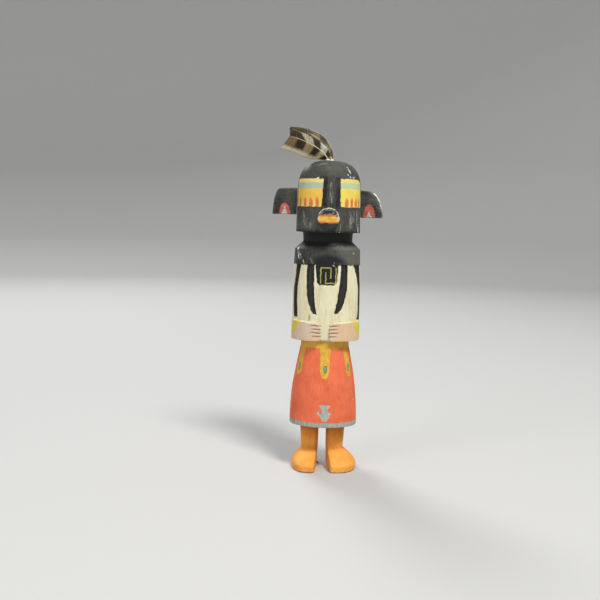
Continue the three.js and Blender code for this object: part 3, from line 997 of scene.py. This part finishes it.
def cut_fingers(bm):
    """Deepens the cuts between the fingers and rounds the fingers between them."""
    lines = [(Vector((ax, az)), Vector((bx, bz))) for (ax, az), (bx, bz) in finger_lines()]
    low, high = FINGER_TOP - (len(FINGERS) + 0.2) * FINGER_PITCH, FINGER_TOP + FINGER_PITCH
    for v in bm.verts:
        here = (v.co - AXIS) / MM
        if not (low < here.z < high and here.y < HAND_FRONT and abs(here.x) < HAND_REACH):
            continue
        place = Vector((here.x, here.z))
        cut = 0
        for end, root in lines:
            run = root - end
            share = (place - end).dot(run) / run.length_squared
            if 0 < share < 1:
                off = (place - end - run * share).length
                cut = max(cut, math.exp(-((off / CUT_HALF) ** 2)) * min(1, CUT_FADE * (1 - share)))
        v.co.y += CUT_DEPTH * cut * MM


def mark_edges(piece, reach, full):
    """Writes two attributes: how far each point stands out as an edge, and how far in a hollow it lies.

    Both compare the mesh with itself smoothed over a reach; full is the difference that counts as 1.
    """
    mesh = piece.data
    count = len(mesh.vertices)
    places = np.empty(count * 3)
    normals = np.empty(count * 3)
    ends = np.empty(len(mesh.edges) * 2, dtype=np.int64)
    mesh.vertices.foreach_get("co", places)
    mesh.vertex_normals.foreach_get("vector", normals)
    mesh.edges.foreach_get("vertices", ends)
    places = places.reshape(-1, 3)
    first, second = ends.reshape(-1, 2).T
    neighbours = np.bincount(first, minlength=count) + np.bincount(second, minlength=count)
    spacing = np.linalg.norm(places[first] - places[second], axis=1).mean() / MM
    soft = places.copy()
    for _ in range(round((reach / spacing) ** 2)):
        for axis in range(3):
            column = soft[:, axis]
            total = np.bincount(first, column[second], count) + np.bincount(second, column[first], count)
            soft[:, axis] = (column + total / neighbours) / 2
    stands_out = ((places - soft) * normals.reshape(-1, 3)).sum(axis=1) / (full * MM)
    for label, values in (("edge", stands_out), ("hollow", -stands_out)):
        layer = mesh.attributes.new(label, "FLOAT", "POINT")
        layer.data.foreach_set("value", np.clip(values, 0, 1).astype(np.float32))


def mark_damage(piece):
    """Writes two attributes: how far each point is outside the nearest chip and the nearest scuff."""
    mesh = piece.data
    places = np.empty(len(mesh.vertices) * 3)
    mesh.vertices.foreach_get("co", places)
    places = (places.reshape(-1, 3) - np.array(AXIS)) / MM
    for label, lines in (("chip", CHIPS), ("scuff", SCUFFS)):
        away = np.full(len(places), FARTHEST)
        for start, end, half in lines:
            first, run = np.array(on_skin(*start)), np.array(on_skin(*end) - on_skin(*start))
            share = np.clip((places - first) @ run / (run @ run), 0, 1)
            off = places - first - share[:, None] * run
            away = np.minimum(away, np.linalg.norm(off, axis=1) - half)
        layer = mesh.attributes.new(label, "FLOAT", "POINT")
        layer.data.foreach_set("value", away.astype(np.float32))


def dress(piece, node, materials):
    """Gives a piece its materials and puts it in the place of a CAD node."""
    for material in materials:
        piece.data.materials.append(material)
    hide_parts(node)
    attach(piece, "root")


def glue_mounds(bm):
    """Hardened glue round the foot of each feather, over its hole in the crown."""
    for feather in FEATHERS.values():
        middle = Matrix.Translation(AXIS + Vector((*feather["foot"], CROWN - GLUE_SINK)) * MM)
        bmesh.ops.create_uvsphere(bm, u_segments=16, v_segments=8, radius=GLUE_RADIUS * MM, matrix=middle)


def carve(name, node, style, add=None, cut=None):
    """A CAD node's solid as a carved piece. add puts more on the solid, and cut is the knife's last work."""
    full, quick = style["voxels"]
    piece = even_skin(name, node, full, add)
    knife_work(piece, style["corner_rounds"], style["calm_rounds"], style["waves"], cut)
    thin_out(piece, style["triangles"])
    mark_edges(piece, *style["edge"])
    return piece


def make_figure():
    piece = carve("carved_figure", "body", FIGURE_CUT, glue_mounds, cut_fingers)
    mark_damage(piece)
    dress(piece, "body", [figure_material()])


def make_ears():
    for node, ear in EARS.items():
        piece = carve(node + "_board", node, EAR_CUT)
        dress(piece, node, [ear_material(node + "_paint", ear)])


def make_snout():
    piece = carve("snout_plug", "snout", SNOUT_CUT)
    dress(piece, "snout", [snout_material()])


# ---------------------------------------------------------------- feathers

QUILL_RADIUS = 0.6
QUILL_FOOT = 4.5  # how deep the quill goes into the crown
MOUTH = 0.5  # how far above the crown the rachis starts to bend
# Each feather: where it leaves the crown, the bend and tip of its rachis, how far its barbs sweep forward in
# degrees, and the width of its lower and upper side. The outline is part of a half wave: a low "swell" widens
# it early, and "end" is where the tip cuts it off. "camber" is how far its edges bend back, in millimetres.
FEATHERS = {
    "feather_front": {
        "foot": (-1.6, -1.1),
        "bend": (-6, -2.6, 256),
        "tip": (-32.4, -5.5, 263.4),
        "sweep": 20,
        "lower": 13,
        "upper": 6,
        "swell": 0.45,
        "end": 0.56,
        "camber": 1.2,
    },
    "feather_back": {
        "foot": (1.6, 1.1),
        "bend": (-5, 3, 260),
        "tip": (-32.4, 4.5, 270.4),
        "sweep": 28,
        "lower": 8,
        "upper": 7.6,
        "swell": 0.9,
        "end": 0.96,
        "camber": -1,
    },
}
BARBS = 130
BARB_STEPS = 8
BARB_THICKNESS = 0.12
BARB_FILL, BARB_THINNING = 0.78, 0.25  # half its width at the root, and the end's loss of it, in spacings
BARB_LIFT, BARB_DROOP = 0.06, (-0.12, 0.1)  # how far it strays to front or back, evenly and mostly at its end
FRAYING = 0.09  # the most of a barb's length that is worn off
PARTING, PARTING_SPREAD = 0.35, 0.04  # how far the barbs part at a split, and over what share of the rachis
SHAFT_STEPS = 25
THINNED = 0.82  # how much of the rachis's radius is gone at the tip
BARE_QUILL = 0.06  # where the vane's outline starts, on a half wave that is 0 at both ends


def rachis(feather, share):
    """A point on the rachis and its direction there, at a share of the way from the crown to the tip."""
    mouth = Vector((*feather["foot"], CROWN + MOUTH))
    bend, tip = Vector(feather["bend"]), Vector(feather["tip"])
    point = mouth * (1 - share) ** 2 + bend * 2 * share * (1 - share) + tip * share**2
    ahead = (bend - mouth) * (1 - share) + (tip - bend) * share
    return point, ahead.normalized()


def add_barb(bm, layers, feather, side, share, length, splits):
    """One barb: a thin strip from the rachis to the edge of the vane."""
    start, ahead = rachis(feather, share)
    outward = Vector((0, 1, 0)).cross(ahead).normalized() * side
    full = math.sin(math.pi * (BARE_QUILL + (feather["end"] - BARE_QUILL) * share ** feather["swell"]))
    width = feather["upper" if side > 0 else "lower"] * full
    sweep = math.radians(feather["sweep"])
    strand = random.random()
    lift = random.uniform(-BARB_LIFT, BARB_LIFT)
    droop = random.uniform(*BARB_DROOP)
    frayed = 1 - random.random() ** 4 * FRAYING
    past = [share - at for at in splits]
    parting = sum(math.copysign(PARTING, off) * math.exp(-abs(off) / PARTING_SPREAD) for off in past)
    strip = bmesh.ops.create_grid(bm, x_segments=BARB_STEPS, y_segments=1, size=1)["verts"]
    for v in strip:
        edge = v.co.y
        reach = (v.co.x + 1) / 2 * frayed
        forward = width * reach**1.3 * math.sin(sweep)
        half = length / BARBS * (BARB_FILL - BARB_THINNING * reach**3) * edge
        here = start + outward * width * reach * math.cos(sweep)
        here += ahead * (forward + half + parting * reach**2.5)
        here.y += feather["camber"] * (full * reach) ** 2 + lift * reach + droop * reach**3 + 0.04 * edge
        v.co = AXIS + here * MM
        v[layers["along"]] = share * length + forward
        v[layers["across"]] = reach * side
        v[layers["strand"]] = strand


def ring_matrix(centre, ahead, radius):
    turn = ahead.to_track_quat("Z", "Y").to_matrix().to_4x4()
    return Matrix.Translation(AXIS + centre * MM) @ turn @ Matrix.Scale(radius * MM, 4)


def rim_edges(ring):
    """The edges between the vertices of a ring."""
    return list({e for v in ring for e in v.link_edges if all(end in ring for end in e.verts)})


def add_shaft(bm, feather):
    """The quill and rachis, drawn out from a thick foot in the crown to a hair at the tip."""
    foot = Vector((*feather["foot"], CROWN - QUILL_FOOT))
    stations = [ring_matrix(foot, Vector((0, 0, 1)), QUILL_RADIUS)]
    for step in range(SHAFT_STEPS):
        share = step / SHAFT_STEPS
        stations.append(ring_matrix(*rachis(feather, share), QUILL_RADIUS * (1 - THINNED * share)))
    ring = bmesh.ops.create_circle(bm, segments=10, radius=1, cap_ends=True, matrix=stations[0])["verts"]
    for before, after in zip(stations, stations[1:]):
        grown = bmesh.ops.extrude_edge_only(bm, edges=rim_edges(ring))["geom"]
        ring = [item for item in grown if isinstance(item, bmesh.types.BMVert)]
        bmesh.ops.transform(bm, matrix=after @ before.inverted(), verts=ring)
    bmesh.ops.contextual_create(bm, geom=rim_edges(ring))


def make_feather(node, vane, shaft):
    feather = FEATHERS[node]
    bm = bmesh.new()
    layers = {name: bm.verts.layers.float.new(name) for name in ("along", "across", "strand")}
    line = [rachis(feather, i / 20)[0] for i in range(21)]
    length = sum((b - a).length for a, b in zip(line, line[1:]))
    for side in (-1, 1):
        splits = [random.uniform(0.3, 0.95) for _ in range(2)]
        for i in range(BARBS):
            add_barb(bm, layers, feather, side, (i + random.random() * 0.5) / BARBS, length, splits)
    bmesh.ops.solidify(bm, geom=bm.faces[:], thickness=BARB_THICKNESS * MM)
    barb_count = len(bm.faces)
    add_shaft(bm, feather)
    for i, face in enumerate(bm.faces):
        face.material_index = 0 if i < barb_count else 1
        face.smooth = True
    bmesh.ops.recalc_face_normals(bm, faces=bm.faces)
    dress(link("crest_" + node, bm), node, [vane, shaft])


HORN = ("b79b66", "e2d5ac")
BAR_PITCH, FIRST_BAR = 12.4, 4.6  # along the rachis, in millimetres
TIP_START = 31.5  # where the tip's colour starts along the rachis

# The ground on each side of the rachis and near the quill, then the edge, bars, tip and streaks. "most" is
# how full the bars are, and "run" how often the streaks change: across, from strand to strand and along.
FRONT_VANE = {
    "lower_upper": ("94825a", "aaa792"),
    "near_quill": ("cfc59a", "bcc6c8"),
    "edge": "cfc2a8",
    "bar": "26180c",
    "tip": "6a5032",
    "streak": "7b6b48",
    "most": 0.97,
    "run": (2.0, 0.8, 0.25),
}
BACK_VANE = {
    "lower_upper": ("5c5033", "665c3d"),
    "near_quill": ("726a49", "867c5a"),
    "edge": "8a7b56",
    "bar": "2b2115",
    "tip": "60543a",
    "streak": "d2c9a6",
    "most": 0.62,
    "run": (9.0, 0.5, 0.05),
}


def vane_material(name, look):
    """A barred vane, by the place along the rachis and across the vane that every barb carries."""
    material, tree = new_material(name)
    along, across, strand = (attribute(tree, n) for n in ("along", "across", "strand"))
    spot = tree.nodes.new("ShaderNodeCombineXYZ")
    for socket, value, often in zip(spot.inputs, (across, strand, along), look["run"]):
        tree.links.new((value * often).socket, socket)
    cloud = Field(tree, spot.outputs[0]).noise(1.0, detail=3)
    slant = across.math("MAXIMUM", 0.0) * along * 0.2
    drift = along + (strand - 0.5) * 0.5 + (cloud - 0.5) * 2.4 - slant
    wave = ((drift - FIRST_BAR) * (2 * math.pi / BAR_PITCH)).math("COSINE")
    upper_side = across.above(0, 0.02)
    near_quill = blend(tree, look["near_quill"], upper_side)
    ground = near_quill.over(blend(tree, look["lower_upper"], upper_side), drift.below(13.0, 9.0))
    ground = colour(tree, look["streak"]).over(ground, cloud.above(0.53, 0.12) * 0.8)
    ground = colour(tree, look["tip"]).over(ground, drift.above(TIP_START, 4.0) * 0.85)
    bars = wave.above(0.05, 0.9) & (across + cloud * 0.3).above(-0.62, 0.35)
    dark_tip = across.between(0.02, 0.65, 0.25) & along.above(TIP_START, 3)
    base = colour(tree, look["bar"]).over(ground, (bars | dark_tip) * look["most"])
    base = colour(tree, look["edge"]).over(base, (across - cloud * 0.3).below(-0.83, 0.32) * 0.9)
    base = base.times(strand.spread(0.86, 1.06))
    finish_material(tree, base, strand.spread(0.75, 0.55), cloud, depth=0.02)
    return material


def shaft_material():
    """Smooth horn, yellowish, a little darker in places."""
    material, tree = new_material("feather_shaft")
    grain = place_on_doll(tree).noise(0.6, detail=3)
    base = blend(tree, HORN, grain.ramp(0.35, 0.6))
    finish_material(tree, base, grain.spread(0.5, 0.35), grain, depth=0.03, specular=0.5)
    return material


# ---------------------------------------------------------------- stage

FLOOR_RADIUS = 2.2
WALL_STEPS = [(0.5, 0.12), (0.35, 0.33), (0.13, 0.5), (0.0, 1.4)]  # out and up
FLOOR_GREY = (0.5, 0.5, 0.49, 1)


def make_stage():
    """A pale floor that curves up all round into a plain wall."""
    bm = bmesh.new()
    rim = bmesh.ops.create_circle(bm, segments=96, radius=FLOOR_RADIUS, cap_ends=True)["verts"]
    radius = FLOOR_RADIUS
    for out, up in WALL_STEPS:
        grown = bmesh.ops.extrude_edge_only(bm, edges=rim_edges(rim))["geom"]
        rim = [item for item in grown if isinstance(item, bmesh.types.BMVert)]
        scale = (radius + out) / radius
        radius += out
        bmesh.ops.scale(bm, vec=(scale, scale, 1), verts=rim)
        bmesh.ops.translate(bm, vec=(0, 0, up), verts=rim)
    bmesh.ops.recalc_face_normals(bm, faces=bm.faces)
    floor = link("floor", bm)
    floor.data.shade_smooth()
    material, tree = new_material("pale_floor")
    shader = tree.nodes["Principled BSDF"]
    shader.inputs["Base Color"].default_value = FLOOR_GREY
    shader.inputs["Roughness"].default_value = 0.85
    floor.data.materials.append(material)


# Name, place, size, power and colour of each lamp
LAMPS = [
    ("key", (0.6, -1.1, 1.9), 0.6, 44, (1, 0.98, 0.95)),
    ("fill", (-1.5, -1.5, 1.2), 1.2, 11, (0.94, 0.97, 1)),
    ("back", (-0.7, 1.6, 1.7), 0.9, 30, (1, 1, 1)),
]
LAMP_TARGET = Vector((0, 0, 0.14))
WORLD_TINT, WORLD_STRENGTH = (0.93, 0.95, 1, 1), 0.42


def make_light():
    for name, place, size, power, tint in LAMPS:
        light = bpy.data.lights.new(name, "AREA")
        light.shape = "DISK"
        light.size = size
        light.energy = power
        light.color = tint
        lamp = bpy.data.objects.new(name, light)
        lamp.location = place
        lamp.rotation_euler = (Vector(place) - LAMP_TARGET).to_track_quat("Z", "Y").to_euler()
        bpy.context.scene.collection.objects.link(lamp)
    world = bpy.data.worlds.new("studio")
    world.use_nodes = True
    sky = world.node_tree.nodes["Background"]
    sky.inputs["Color"].default_value = WORLD_TINT
    sky.inputs["Strength"].default_value = WORLD_STRENGTH
    bpy.context.scene.world = world
    bpy.context.scene.view_settings.view_transform = "Standard"


SENSOR, FOCAL_LENGTH = 36, 54
CAMERA_STAND = Vector((-20.9, -720, 200))  # from the axis, in millimetres
CAMERA_DOWN, CAMERA_ROLL = math.radians(5.27), math.radians(1.5)


def make_camera():
    """A camera a little above the doll's neck, looking slightly down, and a little to its right."""
    lens = bpy.data.cameras.new("camera")
    lens.sensor_width = SENSOR
    lens.lens = FOCAL_LENGTH
    lens.clip_start = 0.02
    lens.clip_end = 20
    camera = bpy.data.objects.new("camera", lens)
    stand = Matrix.Translation(AXIS + CAMERA_STAND * MM)
    look_down = Matrix.Rotation(math.pi / 2 - CAMERA_DOWN, 4, "X")
    roll = Matrix.Rotation(CAMERA_ROLL, 4, "Z")
    camera.matrix_world = stand @ look_down @ roll
    bpy.context.scene.collection.objects.link(camera)
    bpy.context.scene.camera = camera


make_figure()
make_ears()
make_snout()
horn = shaft_material()
make_feather("feather_front", vane_material("front_vane", FRONT_VANE), horn)
make_feather("feather_back", vane_material("back_vane", BACK_VANE), horn)
make_stage()
make_light()
make_camera()
